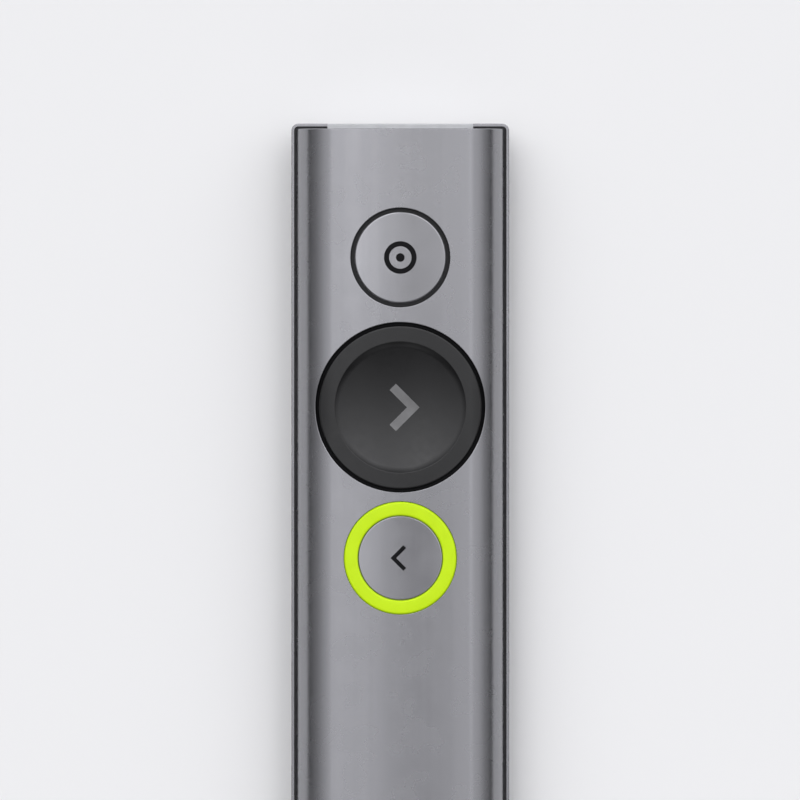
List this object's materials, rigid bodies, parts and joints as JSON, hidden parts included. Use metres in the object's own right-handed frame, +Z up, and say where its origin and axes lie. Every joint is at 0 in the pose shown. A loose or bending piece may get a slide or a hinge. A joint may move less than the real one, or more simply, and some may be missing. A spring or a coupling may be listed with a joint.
{
  "type": "presentation clicker",
  "caption": "Slim wireless presentation clicker: crowned grey shell, round pointer key, dished next key, lime-ringed back key, and a USB receiver in its tail.",
  "frame": {"origin": "on the resting face, in the middle of the overall length and width", "axes": "+X to the right across the body, +Y along it towards the front end, +Z up out of the button face"},
  "size_m": [0.0282, 0.1314, 0.0123],
  "materials": {
    "anodised_shell": "bead-blasted, slate-grey anodised",
    "dark_plastic": "satin moulded",
    "black_plastic": "matte moulded",
    "black_ink": "filled legend, matte",
    "grey_ink": "filled legend, matte",
    "black_rubber": "matte silicone",
    "window_plastic": "translucent, satin",
    "lime_plastic": "translucent lime, lit from behind",
    "spring_steel": "rolled",
    "plated_steel": "nickel plated",
    "plunger_plastic": "moulded",
    "board": "solder mask",
    "chip": "moulded epoxy",
    "ceramic": "fired ceramic",
    "led": "clear resin",
    "battery_foil": "laminated pouch foil",
    "foam": "closed-cell foam",
    "wire": "insulated wire",
    "weight_metal": "sintered tungsten alloy",
    "white_plastic": "moulded",
    "gold_plate": "gold plated"
  },
  "bodies": {
    "housing": {"bottom_shell": "anodised_shell", "top_shell": "anodised_shell", "seam_gasket": "black_rubber", "status_window": "window_plastic", "tail_frame": "dark_plastic", "tail_screws": "plated_steel", "pointer_bezel": "black_plastic", "next_bezel": "black_plastic", "back_light_ring": "lime_plastic", "pointer_switch_base": "black_plastic", "pointer_switch_cover": "plated_steel", "pointer_switch_dome": "spring_steel", "next_switch_base": "black_plastic", "next_switch_cover": "plated_steel", "next_switch_dome": "spring_steel", "back_switch_base": "black_plastic", "back_switch_cover": "plated_steel", "back_switch_dome": "spring_steel", "chassis": "dark_plastic", "chassis_screws": "plated_steel", "main_board": "board", "board_screws": "plated_steel", "radio_shield": "plated_steel", "controller_chip": "chip", "chip_antenna": "ceramic", "status_leds": "led", "ring_leds": "led", "charge_socket_shell": "plated_steel", "charge_socket_tongue": "black_plastic", "battery_cell": "battery_foil", "battery_guard_board": "board", "battery_pad": "foam", "battery_leads": "wire", "motor_can": "plated_steel", "motor_boot": "black_rubber", "motor_leads": "wire"},
    "pointer_key": {"pointer_button": "anodised_shell", "pointer_icon_ring": "black_ink", "pointer_icon_dot": "black_ink", "pointer_switch_plunger": "plunger_plastic"},
    "next_key": {"next_button": "dark_plastic", "next_chevron": "grey_ink", "next_switch_plunger": "plunger_plastic"},
    "back_key": {"back_button": "anodised_shell", "back_chevron": "black_ink", "back_switch_plunger": "plunger_plastic"},
    "motor_rotor": {"motor_shaft": "plated_steel", "motor_weight": "weight_metal"},
    "receiver": {"receiver_top": "black_plastic", "receiver_bottom": "black_plastic", "receiver_board": "board", "receiver_chip": "chip", "receiver_plug_shell": "plated_steel", "receiver_plug_tongue": "white_plastic", "receiver_plug_contacts": "gold_plate", "receiver_pull_tab": "black_rubber"}
  },
  "joints": [
    {"name": "pointer_press", "type": "slide", "parent": "housing", "child": "pointer_key", "axis": [0, 0, -1], "range_m": [0, 0.00035], "stiffness_N_per_m": 600, "springref_m": -0.0005, "deforming": ["pointer_switch_dome"]},
    {"name": "next_press", "type": "slide", "parent": "housing", "child": "next_key", "axis": [0, 0, -1], "range_m": [0, 0.00035], "stiffness_N_per_m": 600, "springref_m": -0.0005, "deforming": ["next_switch_dome"]},
    {"name": "back_press", "type": "slide", "parent": "housing", "child": "back_key", "axis": [0, 0, -1], "range_m": [0, 0.00035], "stiffness_N_per_m": 600, "springref_m": -0.0005, "deforming": ["back_switch_dome"]},
    {"name": "motor_spin", "type": "hinge", "parent": "housing", "child": "motor_rotor", "pos_m": [0, 0.0337, 0.00315], "axis": [0, 1, 0], "continuous": true},
    {"name": "receiver_slide", "type": "slide", "parent": "housing", "child": "receiver", "axis": [0, -1, 0], "range_m": [0, 0.0315]}
  ]
}
